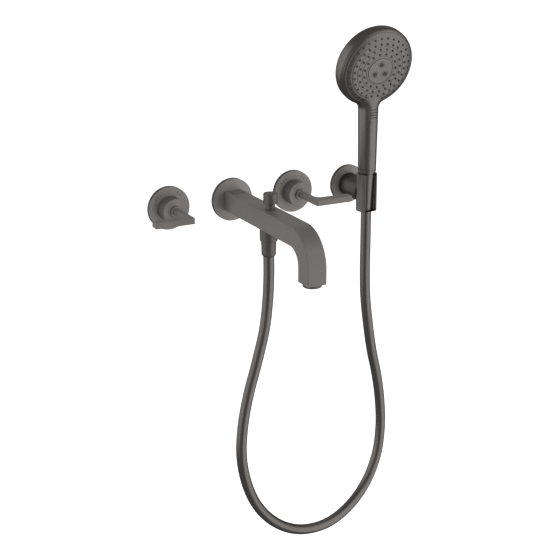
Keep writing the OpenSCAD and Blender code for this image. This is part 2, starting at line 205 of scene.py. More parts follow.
def prism(name, outline, low, high, place, bevel, smooth_angle=35, segments=3):
    """An outline in the XY plane extruded from low to high, with softened edges, then put in place."""
    count = len(outline)
    vertices = [place @ Vector((x, y, z)) for z in (low, high) for x, y in outline]
    faces = [tuple(range(count)), tuple(range(2 * count - 1, count - 1, -1))]
    faces += [(k, (k + 1) % count, count + (k + 1) % count, count + k) for k in range(count)]
    piece = add_object(name, vertices, faces, smooth_angle)
    return flat_faces(soften(piece, bevel, segments, smooth_angle))


def soften(piece, width, segments, angle):
    """Rounds the sharp edges of a piece."""
    bevel = piece.modifiers.new("soft_edges", "BEVEL")
    bevel.width = width * MM
    bevel.segments = segments
    bevel.limit_method = "ANGLE"
    bevel.angle_limit = math.radians(angle)
    return piece


def side_faces(rings, count):
    """The faces between rings of count points each, one ring after another."""
    faces = []
    for i in range(rings - 1):
        for k in range(count):
            n = (k + 1) % count
            faces.append((i * count + k, i * count + n, (i + 1) * count + n, (i + 1) * count + k))
    return faces


def tube_faces(rings, count):
    """The faces of a tube of rings, closed at both ends."""
    last = (rings - 1) * count
    ends = [tuple(range(count)), tuple(range(last + count - 1, last - 1, -1))]
    return side_faces(rings, count) + ends


def swept(centres, frames, section):
    """The points of a section (x, y) carried along centres; frames gives each centre's two section axes."""
    vertices = []
    for centre, (across, up) in zip(centres, frames):
        vertices += [centre + across * x + up * y for x, y in section]
    return vertices


def sweep(name, centres, frames, section):
    """A solid made by a section that is carried along centres."""
    return add_object(name, swept(centres, frames, section), tube_faces(len(centres), len(section)))


def circle(radius, steps):
    angles = [2 * math.pi * k / steps for k in range(steps)]
    return [(radius * math.cos(a), radius * math.sin(a)) for a in angles]


def joined(name, pieces):
    """Several pieces as one object; the modifiers of each are applied first."""
    graph = bpy.context.evaluated_depsgraph_get()
    whole = bmesh.new()
    for piece in pieces:
        whole.from_mesh(bpy.data.meshes.new_from_object(piece.evaluated_get(graph)))
    mesh = bpy.data.meshes.new(name)
    whole.to_mesh(mesh)
    whole.free()
    for piece in pieces:
        bpy.data.objects.remove(piece)
    return linked(name, mesh)


ON_WALL = Matrix.Rotation(math.radians(90), 4, "X")


def on_wall(x):
    """Puts a piece drawn along +Z on the wall, pointing outward."""
    return Matrix.Translation((x, 0, 0)) @ ON_WALL


# -------- places and sizes from the frame

PLATE_R = half_width("spout_plate")
PLATE_T = -node_box("spout_plate")[0].y
HANDLE_X = middle("right_plate").x
HUB_R = half_width("right_hub")
HUB_FRONT = -node_box("right_hub")[0].y
HUB_LOW = -node_box("right_hub")[1].y
BOSS_R = half_width("right_boss")
BOSS_FRONT = -node_box("right_boss")[0].y
LEVER_LOW, LEVER_HIGH = node_box("right_lever")
LEVER_STEM_W = 7.8      # width of the stem between boss and bar
LEVER_BAR_D = 14.6      # depth of the bar, out from the wall
LEVER_FILLET = 9        # in the corner between stem and bar
SPOUT_LOW, SPOUT_HIGH = node_box("spout_body")
SPOUT_W = SPOUT_HIGH.x - SPOUT_LOW.x
BEND_R = 51.5           # outside radius of the spout's bend
DIVERTER_Y = middle("diverter_knob").y
KNOB_LOW, KNOB_HIGH = node_box("diverter_knob")
OUTLET_Y = middle("hose_outlet").y
OUTLET_R = half_width("hose_outlet")
LOWER_NUT_LOW, LOWER_NUT_HIGH = node_box("lower_hose_nut")
HOLDER_X = middle("holder_sleeve").x
HOLDER_PLATE_R = half_width("holder_plate")
SLEEVE_R = half_width("holder_sleeve")
SLEEVE_Y = node_box("holder_sleeve")[1].y - SLEEVE_R
SLEEVE_HALF_H = node_box("holder_sleeve")[1].z
SLEEVE_BORE_R = 12.2
SLOT_W = 17.2
UPPER_NUT_LOW, UPPER_NUT_HIGH = node_box("upper_hose_nut")
HEAD_R = 60
HEAD_CENTRE = Vector((HOLDER_X, -84.1, 185.3))
HEAD_TILT = 17
ON_HEAD = Matrix.Translation(HEAD_CENTRE) @ Matrix.Rotation(math.radians(90 + HEAD_TILT), 4, "X")
COLLAR_LOW = UPPER_NUT_HIGH.z + 0.4
COLLAR_H = 3
HANDLE_LOW_R, HANDLE_TOP_R = 13.4, 14.9
HOSE_R = 7.8
NUT_BORE_R = 5

# -------- the hose

HOSE_ROUTE = [(0, -119, -54.6), (0, -119, -85), (-2, -119, -122), (-9, -122, -162), (-23, -126, -207),
              (-39, -131, -251), (-50, -134, -297), (-53, -135, -344), (-44, -133, -390), (-24, -126, -433),
              (5, -117, -469), (41, -106, -497), (82, -93, -515), (127, -80, -520), (171, -66, -509),
              (207, -55, -482), (230, -48, -442), (238, -45, -396), (235, -46, -348), (226, -49, -302),
              (214, -52, -257), (204, -56, -211), (197, -58, -164), (195, -58.4, -120), (195, -58.4, -85),
              (195, -58.4, -55), (195, -58.4, -27.5)]
HOSE_CUTS = 6       # stretches between two points of the route
HOSE_SIDES = 40


def spline_points(route, cuts):
    """Points on the smooth curve through the route."""
    points = [Vector(p) for p in route]
    line = []
    for i in range(len(points) - 1):
        a, b, c = points[max(i - 1, 0)], points[i], points[i + 1]
        d = points[min(i + 2, len(points) - 1)]
        for k in range(cuts):
            t = k / cuts
            line.append(0.5 * (2 * b + (c - a) * t + (2 * a - 5 * b + 4 * c - d) * t * t
                               + (3 * b - a - 3 * c + d) * t * t * t))
    return line + [points[-1]]


def carried_frames(line):
    """Section axes carried along a line without twist."""
    across = Vector((1, 0, 0))
    frames = []
    for i in range(len(line)):
        ahead = (line[min(i + 1, len(line) - 1)] - line[max(i - 1, 0)]).normalized()
        if i in (0, len(line) - 1):
            ahead = Vector((0, 0, -1 if i == 0 else 1))
        across = (across - ahead * across.dot(ahead)).normalized()
        frames.append((across, ahead.cross(across)))
    return frames


def make_nuts():
    """The coned nuts on the hose's two ends."""
    low, seat = LOWER_NUT_LOW.z, LOWER_NUT_HIGH.z
    lower = lathe("lower_hose_nut_turned", rounded([
        (NUT_BORE_R, seat - 0.1), (10.3, seat - 0.1), (10.8, seat - 0.6, 0.3), (10.1, low + 3.2, 0.8),
        (8.0, low, 0.5), (NUT_BORE_R, low)]), Matrix.Translation((0, OUTLET_Y, 0)))
    low, high = UPPER_NUT_LOW.z, UPPER_NUT_HIGH.z
    upper = lathe("upper_hose_nut_turned", rounded([
        (NUT_BORE_R, low), (7.9, low, 0.3), (8.0, low + 0.5, 0.2), (11.2, high - 2, 0.6), (11.2, high, 0.4),
        (NUT_BORE_R, high)]), Matrix.Translation((HOLDER_X, SLEEVE_Y, 0)))
    return lower, upper


def make_hose():
    line = spline_points(HOSE_ROUTE, HOSE_CUTS)
    hose = sweep("hose", line, carried_frames(line), circle(HOSE_R, HOSE_SIDES))
    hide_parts("hose_tube")
    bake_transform(hose)
    return hose


lower_nut, upper_nut = make_nuts()
hose = make_hose()

# -------- materials


def new_material(name):
    material = bpy.data.materials.new(name)
    material.use_nodes = True
    tree = material.node_tree
    return material, tree, tree.nodes["Principled BSDF"]


def add_node(tree, kind, **inputs):
    """A new shader node, each input given as a value or as another node's output."""
    made = tree.nodes.new(f"ShaderNode{kind}")
    for name, value in inputs.items():
        socket = made.inputs[name.replace("_", " ")]
        if isinstance(value, bpy.types.NodeSocket):
            tree.links.new(value, socket)
        else:
            socket.default_value = value
    return made


def object_place(tree):
    return add_node(tree, "TexCoord").outputs["Object"]


def noise(tree, vector, scale, detail=3, rough=0.5):
    made = add_node(tree, "TexNoise", Vector=vector, Scale=scale, Detail=detail, Roughness=rough)
    return made.outputs["Fac"]


def mapped(tree, vector, scale, location=(0, 0, 0), rotation=(0, 0, 0)):
    made = add_node(tree, "Mapping", Vector=vector, Location=location, Rotation=rotation, Scale=scale)
    return made.outputs["Vector"]


def ranged(tree, value, low, high, start=0, end=1):
    """Moves a value that runs from start to end into the range low to high."""
    made = add_node(tree, "MapRange", Value=value, From_Min=start, From_Max=end, To_Min=low, To_Max=high)
    return made.outputs["Result"]


def ramp(tree, value, stops):
    made = add_node(tree, "ValToRGB", Fac=value)
    elements = made.color_ramp.elements
    for element, (position, colour) in zip(elements, stops):
        element.position = position
        element.color = (*colour, 1)
    return made.outputs["Color"]


def maths(tree, operation, a, b=None):
    made = tree.nodes.new("ShaderNodeMath")
    made.operation = operation
    for socket, value in zip(made.inputs, (a, b)):
        if isinstance(value, bpy.types.NodeSocket):
            tree.links.new(value, socket)
        elif value is not None:
            socket.default_value = value
    return made.outputs["Value"]


def weighted(tree, a, weight_a, b, weight_b):
    return maths(tree, "ADD", maths(tree, "MULTIPLY", a, weight_a), maths(tree, "MULTIPLY", b, weight_b))


def bump(tree, shader, height, strength, distance):
    made = add_node(tree, "Bump", Height=height, Strength=strength, Distance=distance)
    tree.links.new(made.outputs["Normal"], shader.inputs["Normal"])


def shade(colour, factor):
    return tuple(c * factor for c in colour)


BRUSH_FINE, BRUSH_COARSE = 5200, 60     # how fast the brush lines change across the grain and along it
TURNED_SPREAD = 1.6                     # how much they change round a turned piece
CLOUD_SCALE, SPECK_SCALE = 38, 2600
SIDE_SHADE_START, SIDE_SHADE_END = 0.45, 0.85       # how far a wall's normal leans to the Y axis where the painted side shade is full, and where it has faded out
GRAIN_DEPTH = 0.00006                   # in metres


def turned_lines(tree, place, centre, axis):
    """Texture places drawn out into lines round an axis, Y or Z, through a centre in metres."""
    local = mapped(tree, place, (1, 1, 1), tuple(-c for c in centre))
    if axis == "Y":
        local = mapped(tree, local, (1, 1, 1), rotation=(math.radians(-90), 0, 0))
    split = add_node(tree, "SeparateXYZ", Vector=local).outputs
    x, y, z = split["X"], split["Y"], split["Z"]
    squares = maths(tree, "ADD", maths(tree, "MULTIPLY", x, x), maths(tree, "MULTIPLY", y, y))
    radius = maths(tree, "SQRT", squares)
    around = maths(tree, "SINE", maths(tree, "ARCTAN2", y, x))
    scaled = [maths(tree, "MULTIPLY", value, factor) for value, factor in
              ((radius, BRUSH_FINE), (around, TURNED_SPREAD), (z, BRUSH_FINE))]
    return add_node(tree, "CombineXYZ", X=scaled[0], Y=scaled[1], Z=scaled[2]).outputs["Vector"]


def painted_side_shade(tree, tint, side):
    """A colour scaled by side where the surface faces away from the Y axis: painted shade on the walls that
    run along Y.
    """
    normal = add_node(tree, "TexCoord").outputs["Normal"]
    facing = add_node(tree, "SeparateXYZ", Vector=normal).outputs["Y"]
    depth = ranged(tree, maths(tree, "ABSOLUTE", facing), side, 1.0, SIDE_SHADE_START, SIDE_SHADE_END)
    scaled = tree.nodes.new("ShaderNodeVectorMath")
    scaled.operation = "SCALE"
    tree.links.new(tint, scaled.inputs[0])
    tree.links.new(depth, scaled.inputs["Scale"])
    return scaled.outputs["Vector"]


def brushed_metal(name, colour, roughness, grain, fleck=1.0, metallic=1.0, side=1.0):
    """A satin metal coating with fine brush lines.

    grain is the lines' direction: X, Y, Z, or (centre, axis) for lines turned round an axis.
    fleck is how much the colour varies, and side paints shade on the walls that run along Y by darkening
    their colour.
    """
    material, tree, shader = new_material(name)
    place = object_place(tree)
    if isinstance(grain, str):
        lines = mapped(tree, place, tuple(BRUSH_COARSE if grain == axis else BRUSH_FINE for axis in "XYZ"))
    else:
        lines = turned_lines(tree, place, *grain)
    streaks = noise(tree, lines, 1, 2)
    cloud = noise(tree, place, CLOUD_SCALE, 4, 0.55)
    speck = noise(tree, place, SPECK_SCALE, 2, 0.6)
    mix = weighted(tree, streaks, 0.55, cloud, 0.45)
    dark, light = shade(colour, 1 - 0.09 * fleck), shade(colour, 1 + 0.07 * fleck)
    tint = ramp(tree, mix, [(0.3, dark), (0.7, light)])
    # painted shade: the walls along Y are given a darker colour
    if side < 1:
        tint = painted_side_shade(tree, tint, side)
    tree.links.new(tint, shader.inputs["Base Color"])
    wear = weighted(tree, streaks, 0.5, speck, 0.5)
    tree.links.new(ranged(tree, wear, roughness - 0.05, roughness + 0.06), shader.inputs["Roughness"])
    shader.inputs["Metallic"].default_value = metallic
    shader.inputs["Specular Tint"].default_value = (0.5, 0.5, 0.5, 1)
    bump(tree, shader, maths(tree, "ADD", streaks, maths(tree, "MULTIPLY", speck, 0.6)), 0.10, GRAIN_DEPTH)
    return material


def plain_metal(name, colour, roughness):
    """A machined metal with turning marks."""
    material, tree, shader = new_material(name)
    place = object_place(tree)
    marks = noise(tree, mapped(tree, place, (3000, 3000, 3000)), 1, 3)
    cloud = noise(tree, place, 60, 4)
    tree.links.new(ramp(tree, cloud, [(0.3, shade(colour, 0.86)), (0.7, shade(colour, 1.08))]),
                   shader.inputs["Base Color"])
    tree.links.new(ranged(tree, marks, roughness - 0.06, roughness + 0.08), shader.inputs["Roughness"])
    shader.inputs["Metallic"].default_value = 1.0
    bump(tree, shader, marks, 0.15, 0.00008)
    return material


def moulded(name, colour, roughness, grain_scale=1800, depth=0.12, spread=0.12):
    """A moulded plastic, rubber or ceramic surface with a fine grain."""
    material, tree, shader = new_material(name)
    place = object_place(tree)
    grain = noise(tree, place, grain_scale, 3, 0.6)
    cloud = noise(tree, place, 45, 3)
    tree.links.new(ramp(tree, cloud, [(0.3, shade(colour, 1 - spread)), (0.7, shade(colour, 1 + spread))]),
                   shader.inputs["Base Color"])
    tree.links.new(ranged(tree, grain, roughness - 0.06, roughness + 0.08), shader.inputs["Roughness"])
    bump(tree, shader, grain, depth, GRAIN_DEPTH)
    return material


COAT = (0.222, 0.208, 0.198)        # the glossier black chrome of the hand shower, hose and nuts
COAT_ROUGH = 0.28
SATIN = (0.43, 0.405, 0.387)        # the duller coating of the pieces on the wall
SATIN_ROUGH = 0.40
SATIN_METALLIC = 0.10


def dress(piece, material):
    piece.data.materials.clear()
    piece.data.materials.append(material)
    return piece


def finish(piece, body, slot, material, *nodes):
    """Gives a piece its material and its body, and hides the CAD nodes that it stands for; slot is not used.
    """
    dress(piece, material)
    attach(piece, body)
    if nodes:
        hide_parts(*nodes)
    return piece


def make_turned(name, outline, place, body, slot, material, *nodes, steps=5):
    """A turned piece from an outline with rounded corners, with what finish gives it."""
    finish(lathe(name, rounded(outline, steps), place), body, slot, material, *nodes)


def satin_turned(name, x, factor, side):
    """The satin of the wall pieces, brushed round an axis out of the wall at x; side paints shade on their
    walls along Y.
    """
    grain = ((x * MM, 0, 0), "Y")
    return brushed_metal(name, shade(SATIN, factor), SATIN_ROUGH, grain, 1.0, SATIN_METALLIC, side)


ROUND_SLEEVE = ((HOLDER_X * MM, SLEEVE_Y * MM, 0), "Z")
ROUND_OUTLET = ((0, OUTLET_Y * MM, 0), "Z")
ROUND_KNOB = ((0, DIVERTER_Y * MM, 0), "Z")
ROUND_ARM = ((HOLDER_X * MM, 0, 0), "Y")

coat_plain = brushed_metal("black_chrome_z", COAT, COAT_ROUGH, "Z")
coat_hose = brushed_metal("hose_cover", shade(COAT, 0.97), 0.36, "Z", 0.7)
coat_nut = brushed_metal("black_chrome_nut", COAT, COAT_ROUGH, ROUND_SLEEVE, metallic=0.8)
coat_sleeve = brushed_metal("black_chrome_sleeve", shade(SATIN, 0.58), 0.36, ROUND_SLEEVE, metallic=0.4)
coat_arm = brushed_metal("black_chrome_arm", shade(SATIN, 0.36), 0.42, ROUND_ARM)
coat_outlet = brushed_metal("black_chrome_outlet", shade(COAT, 0.8), 0.38, ROUND_OUTLET, metallic=0.5)
coat_knob = brushed_metal("black_chrome_knob", shade(COAT, 0.85), 0.38, ROUND_KNOB, metallic=0.5)
coat_head = brushed_metal("black_chrome_head", COAT, 0.36, "Z", 0.8)
# painted shade on the side walls: the plates' walls darken to 0.24 of their colour, the hubs' to 0.46
satin_plate_shaded_sides = {x: satin_turned(f"satin_turned_{i}", x, 1, 0.24)
               for i, x in enumerate((-HANDLE_X, 0, HANDLE_X, HOLDER_X))}
satin_hub_shaded_sides = {x: satin_turned(f"satin_hub_{i}", x, 0.9, 0.46) for i, x in enumerate((-HANDLE_X, HANDLE_X))}
satin_lever, satin_spout = (
    brushed_metal(f"satin_{axis.lower()}", shade(SATIN, 0.66), SATIN_ROUGH, axis, 1.0, SATIN_METALLIC)
    for axis in "XY")
liner_grey = moulded("liner_grey", (0.36, 0.345, 0.33), 0.5)
silicone = moulded("nozzle_silicone", (0.045, 0.043, 0.041), 0.38, 2600, 0.2)
nozzle_rubber = moulded("nozzle_rubber", (0.22, 0.21, 0.20), 0.35, 2600, 0.2)
black_plastic = moulded("black_plastic", (0.03, 0.03, 0.03), 0.45)
rubber = moulded("seal_rubber", (0.025, 0.025, 0.025), 0.6)
white_plastic = moulded("inner_plastic", (0.72, 0.71, 0.68), 0.4)
ceramic = moulded("disc_ceramic", (0.82, 0.80, 0.75), 0.18, 2200, 0.04, 0.03)
brass = plain_metal("machined_brass", (0.72, 0.50, 0.20), 0.3)
steel = plain_metal("spring_steel", (0.55, 0.54, 0.52), 0.25)
black_steel = plain_metal("black_steel", (0.10, 0.10, 0.10), 0.4)

dress(hose, coat_hose)

# -------- wall plates, hubs and levers


MARK_ANGLES = (47, 59, 124, 134, 144)
MARK_R, MARK_HALF_L, MARK_HALF_W = 24.65, 1.25, 0.45


def plate_outline(radius, hole):
    """Half section of a wall plate: a thin shadow line at the wall, a rounded front edge."""
    return rounded([(hole, 0), (radius - 0.5, 0), (radius, 0.5, 0.3), (radius, PLATE_T, 0.9),
                    (hole, PLATE_T)], 6)


def index_marks(name, x):
    """Small plain dark lines on a handle's plate, where such plates show the two temperatures."""
    lines = []
    outline = oblong(MARK_HALF_L, MARK_HALF_W, 0.2, 2)
    for angle in MARK_ANGLES:
        turn = Matrix.Rotation(math.radians(angle), 4, "Z") @ Matrix.Translation((MARK_R, 0, 0))
        lines.append(prism("line", outline, PLATE_T - 0.3, PLATE_T + 0.1, on_wall(x) @ turn, 0.05))
    return joined(name, lines)


def make_plates():
    for name, x, radius, hole in (("left_plate", -HANDLE_X, PLATE_R, 12), ("spout_plate", 0, PLATE_R, 12),
                                  ("right_plate", HANDLE_X, PLATE_R, 12),
                                  ("holder_plate", HOLDER_X, HOLDER_PLATE_R, 8)):
        plate = lathe(f"{name}_turned", plate_outline(radius, hole), on_wall(x), WIDE_FINE)
        finish(plate, "root", "brushed_metal", satin_plate_shaded_sides[x], name)
    for side_name, x in (("left", -HANDLE_X), ("right", HANDLE_X)):
        finish(index_marks(f"{side_name}_plate_marks", x), "root", "dark_plastic", black_plastic)


def lever_outline(side):
    """The lever from above: stem, filleted inner corner and bar."""
    stem, back = LEVER_STEM_W / 2, -LEVER_LOW.y - LEVER_BAR_D
    front, reach = -LEVER_LOW.y, LEVER_HIGH.x - HANDLE_X
    points = rounded([(-stem, BOSS_FRONT - 0.4), (stem, BOSS_FRONT - 0.4), (stem, back, LEVER_FILLET),
                      (reach, back, 0.8), (reach, front, 0.8), (-stem, front, 1.6)], 10)
    return [(side * x, y) for x, y in points]


def make_handle(side_name, side):
    x, body = side * HANDLE_X, f"{side_name}_handle"
    for name, outline in (
            ("hub", [(0, HUB_LOW), (HUB_R, HUB_LOW, 0.5), (HUB_R, HUB_FRONT, 0.8), (0, HUB_FRONT)]),
            ("boss", [(0, HUB_FRONT - 0.4), (BOSS_R, HUB_FRONT - 0.4), (BOSS_R, BOSS_FRONT, 0.5),
                      (0, BOSS_FRONT)])):
        make_turned(f"{side_name}_{name}_turned", outline, on_wall(x), body, "brushed_metal", satin_hub_shaded_sides[x],
                    f"{side_name}_{name}")
    place = on_wall(x) @ ON_WALL
    lever = prism(f"{side_name}_lever_bar", lever_outline(side), -LEVER_HIGH.z, -LEVER_LOW.z, place, 0.55,
                  segments=4)
    finish(lever, body, "brushed_metal", satin_lever, f"{side_name}_lever")


make_plates()
make_handle("left", -1)
make_handle("right", 1)

# -------- spout


def spout_stations():
    """Centres and angles down the spout: a straight arm, a quarter bend and a short drop."""
    half, arm_steps, bend_steps = SPOUT_W / 2, 12, 40
    bend_y, bend_z = SPOUT_LOW.y + BEND_R, half - BEND_R
    drop_y = SPOUT_LOW.y + half
    stations = [(Vector((0, -PLATE_T + 0.3, 0)), 0)]
    for t in range(1, arm_steps):
        stations.append((Vector((0, -PLATE_T - t * (-bend_y - PLATE_T) / arm_steps, 0)), 0))
    for k in range(bend_steps + 1):
        a = math.radians(90 * k / bend_steps)
        y = bend_y - (BEND_R - half) * math.sin(a)
        stations.append((Vector((0, y, bend_z + (BEND_R - half) * math.cos(a))), a))
    for t in (0.4, 0.8):
        stations.append((Vector((0, drop_y, bend_z + (SPOUT_LOW.z - bend_z) * t)), math.pi / 2))
    return stations + [(Vector((0, drop_y, SPOUT_LOW.z + 0.5)), math.pi / 2)]


def make_spout():
    """The square tube, whose lower rim turns in and meets the mouth."""
    stations = spout_stations()
    centres = [centre for centre, _ in stations]
    frames = [(Vector((1, 0, 0)), Vector((0, -math.sin(a), math.cos(a)))) for _, a in stations]
    section = oblong(SPOUT_W / 2, SPOUT_W / 2, 0.9, 5)
    vertices = swept(centres, frames, section)
    for inset, z in ((0.15, SPOUT_LOW.z + 0.15), (0.5, SPOUT_LOW.z)):
        scale = 1 - 2 * inset / SPOUT_W
        vertices += [Vector((x * scale, centres[-1].y - y * scale, z)) for x, y in section]
    faces = tube_faces(len(vertices) // len(section), len(section))
    spout = flat_faces(add_object("spout_arm", vertices, faces, 40))
    finish(spout, "root", "brushed_metal", satin_spout, "spout_body", "spout_set_screw")


def make_inlay():
    """A plain oblong on the spout's top, with a dark line round it."""
    place = Matrix.Translation((0, -22.3, SPOUT_HIGH.z))
    line = prism("spout_inlay_line", oblong(8.5, 4.3, 0.8, 4), -0.5, 0.10, place, 0.08)
    finish(line, "root", "dark_plastic", black_plastic)
    inlay = prism("spout_inlay", oblong(7.7, 3.5, 0.8, 4), -0.5, 0.22, place, 0.08)
    finish(inlay, "root", "brushed_metal", satin_lever)


def make_aerator():
    """The ring at the spout's mouth, and the insert with its crossed bars."""
    pitch, half_bar, bar_circle = 2.4, 0.35, 9.2
    centre = Matrix.Translation((0, SPOUT_LOW.y + SPOUT_W / 2, SPOUT_LOW.z))
    outline = [(10.4, 0.5), (10.4, -4.4, 0.4), (12, -4.4, 0.3), (12.9, -3.5, 0.3), (12.9, 0.5)]
    make_turned("aerator_ring", outline, centre, "root", "brushed_metal", coat_outlet, "aerator_housing",
                steps=4)
    insert = [lathe("insert_body", rounded([(0, 2), (10.4, 2), (10.4, -2.0), (9.4, -2.6, 0.3), (8.9, -2.0),
                                            (0, -2.0)], 3), centre)]
    for i in range(-3, 4):
        low, high = i * pitch - half_bar, i * pitch + half_bar
        reach = math.sqrt(bar_circle ** 2 - (i * pitch) ** 2)
        bar = [(low, -reach), (high, -reach), (high, reach), (low, reach)]
        insert.append(prism("bar", bar, -2.6, -1.8, centre, 0.1))
        insert.append(prism("bar", [(y, x) for x, y in bar], -2.7, -1.9, centre, 0.1))
    finish(joined("aerator_grid", insert), "root", "dark_plastic", black_plastic, "aerator_insert")


BONNET_R, BONNET_TOP, STEM_HOLE_R = 6.3, 22.4, 3.2


def make_diverter():
    place = Matrix.Translation((0, DIVERTER_Y, 0))
    top = SPOUT_HIGH.z
    outline = [(STEM_HOLE_R, top - 0.5), (8.0, top - 0.5), (8.0, top + 0.7, 0.5), (BONNET_R, top + 0.9),
               (BONNET_R, BONNET_TOP, 0.5), (STEM_HOLE_R, BONNET_TOP)]
    make_turned("diverter_bonnet_turned", outline, place, "root", "brushed_metal", coat_knob,
                "diverter_bonnet", steps=4)
    low, high = KNOB_LOW.z, KNOB_HIGH.z
    make_turned("diverter_knob_turned", [(0, low), (10, low, 0.6), (10, high, 0.8), (0, high)], place,
                "diverter", "brushed_metal", coat_knob, "diverter_knob")


def make_outlet():
    place = Matrix.Translation((0, OUTLET_Y, 0))
    under = -SPOUT_W / 2
    seat = LOWER_NUT_HIGH.z
    outline = [(5.6, under + 0.6), (OUTLET_R, under + 0.6), (OUTLET_R, seat, 0.7), (5.6, seat)]
    make_turned("hose_outlet_turned", outline, place, "root", "brushed_metal", coat_outlet, "hose_outlet",
                "lower_hose_washer")
    finish(lower_nut, "root", "brushed_metal", coat_outlet, "lower_hose_nut")


SPRING_WIRE_R, SPRING_TURNS, SPRING_STEPS = 0.33, 6, 28


def make_diverter_spring():
    """The coil over the diverter's stem, closer at its ends; it is built at rest, and nothing here shortens
    it as the knob is pulled up.
    """
    low, high = node_box("diverter_spring")
    tall = high.z - low.z
    coil = half_width("diverter_spring") - SPRING_WIRE_R
    centres, frames = [], []
    for i in range(SPRING_TURNS * SPRING_STEPS + 1):
        a, share = 2 * math.pi * i / SPRING_STEPS, i / (SPRING_TURNS * SPRING_STEPS)
        rise = (1 - math.cos(math.pi * share)) / 2 * 0.5 + share * 0.5
        out = Vector((math.cos(a), math.sin(a), 0))
        z = low.z + SPRING_WIRE_R + (tall - 2 * SPRING_WIRE_R) * rise
        centres.append(Vector((0, DIVERTER_Y, z)) + out * coil)
        frames.append((out, Vector((0, 0, 1))))
    spring = sweep("diverter_spring_coil", centres, frames, circle(SPRING_WIRE_R, 10))
    finish(spring, "root", "spring_steel", steel, "diverter_spring")
    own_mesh(spring)


make_spout()
make_inlay()
make_aerator()
make_diverter()
make_diverter_spring()
make_outlet()

# -------- holder


ARC_STEPS = 88              # stretches round the slotted sleeve
LINER_RINGS = 7
LINER_LOW_R = 8.3           # the liner's bore at the nut's foot
LINER_WIDENS = 3.15         # how much wider it is at the nut's shoulder
LINER_WALL = 0.75           # its least thickness
ON_SLEEVE = Matrix.Translation((HOLDER_X, SLEEVE_Y, 0))


def make_arm():
    """The holder's arm, its front end hollowed to the sleeve."""
    radius = (node_box("holder_arm")[1].z - node_box("holder_arm")[0].z) / 2
    steps, edge, least_reach = 64, 0.6, 4.6
    angles = [2 * math.pi * k / steps for k in range(steps)]
    vertices = []
    for depth in (PLATE_T - 0.3, PLATE_T + 20):
        vertices += [(HOLDER_X + radius * math.cos(a), -depth, radius * math.sin(a)) for a in angles]
    for ring_r, back in ((radius, edge), (radius - edge, 0)):
        for a in angles:
            x = ring_r * math.cos(a)
            reach = max(math.sqrt(max(SLEEVE_R ** 2 - x * x, 0)) - edge, least_reach)
            vertices.append((HOLDER_X + x, SLEEVE_Y + reach + back, ring_r * math.sin(a)))
    arm = flat_faces(add_object("holder_arm_turned", vertices, tube_faces(4, steps), 40))
    finish(arm, "root", "brushed_metal", coat_arm, "holder_arm")


def slotted_ring(outer_r, inner_r, half_slot):
    """A ring's outline with a slot in front: round the outside, then back round the inside."""
    arcs = []
    for radius in (outer_r, inner_r):
        start = math.asin(min(half_slot / radius, 0.97))
        angles = [start + (2 * math.pi - 2 * start) * k / ARC_STEPS for k in range(ARC_STEPS + 1)]
        arcs.append([(radius * math.sin(a), -radius * math.cos(a)) for a in angles])
    return arcs[0] + arcs[1][::-1]


def make_sleeve():
    outline = slotted_ring(SLEEVE_R, SLEEVE_BORE_R, SLOT_W / 2)
    sleeve = prism("holder_sleeve_turned", outline, -SLEEVE_HALF_H, SLEEVE_HALF_H, ON_SLEEVE, 0.5, 30)
    finish(sleeve, "root", "brushed_metal", coat_sleeve, "holder_sleeve")


def make_liner():
    """The sleeve's liner, whose bore follows the nut's cone."""
    low, high = node_box("sleeve_liner")
    cone_low, cone_high = UPPER_NUT_LOW.z, UPPER_NUT_HIGH.z - 2
    vertices = []
    for k in range(LINER_RINGS):
        z = low.z + (high.z - low.z) * k / (LINER_RINGS - 1)
        cone_r = LINER_LOW_R + LINER_WIDENS * (z - cone_low) / (cone_high - cone_low)
        inner_r = min(max(LINER_LOW_R, cone_r), SLEEVE_BORE_R - LINER_WALL)
        ring = slotted_ring(SLEEVE_BORE_R, inner_r, SLOT_W / 2 + 0.1)
        vertices += [ON_SLEEVE @ Vector((x, y, z)) for x, y in ring]
    count = len(ring)
    faces = side_faces(LINER_RINGS, count)
    for start in (0, (LINER_RINGS - 1) * count):
        faces += [(start + n, start + n + 1, start + count - 2 - n, start + count - 1 - n)
                  for n in range(ARC_STEPS)]
    liner = soften(add_object("sleeve_liner_moulded", vertices, faces, 30), 0.2, 2, 40)
    finish(liner, "root", "dark_plastic", liner_grey, "sleeve_liner")


make_arm()
make_sleeve()
make_liner()
finish(upper_nut, "hose_end", "brushed_metal", coat_nut, "upper_hose_nut", "upper_hose_washer")

# -------- hand shower


def smooth_min(a, b, reach):
    """The smaller of two distances, rounded where they are closer than reach."""
    h = np.maximum(reach - np.abs(a - b), 0) / reach
    return np.minimum(a, b) - h * h * reach / 4


def outline_distance(px, py, outline):
    """Signed distance to a closed outline, negative inside."""
    best = np.full(px.shape, 1e9)
    inside = np.zeros(px.shape, bool)
    for (ax, ay), (bx, by) in zip(outline, outline[1:] + outline[:1]):
        ex, ey = bx - ax, by - ay
        wx, wy = px - ax, py - ay
        t = np.clip((wx * ex + wy * ey) / (ex * ex + ey * ey), 0, 1)
        best = np.minimum(best, (wx - ex * t) ** 2 + (wy - ey * t) ** 2)
        crosses = (ay > py) != (by > py)
        with np.errstate(divide="ignore", invalid="ignore"):
            at = ax + (py - ay) * ex / (ey if ey else 1e-12)
        inside ^= crosses & (px < at)
    return np.where(inside, -1, 1) * np.sqrt(best)


DOME_START, EDGE_START = 19.6, 40       # radii where the face starts to fall away, and to fall away faster
FACE_TOP = 5.2                          # its height inside the first of them


def face_height(r):
    """Height of the domed spray face at a distance from its middle."""
    return FACE_TOP - 0.0205 * max(r - DOME_START, 0) ** 1.35 - 0.0195 * max(r - EDGE_START, 0) ** 2


# the shell's half section is drawn inside its surface by its edge radius, which rounds every corner
SHELL_ROUND = 0.9
SHELL_REST = 0.45       # how far the shell's front stays below the face
BACK_FLAT_R, BACK_LOW, BACK_RISE = 44, -27, 11
BACK_REACH = HEAD_R - BACK_FLAT_R - SHELL_ROUND


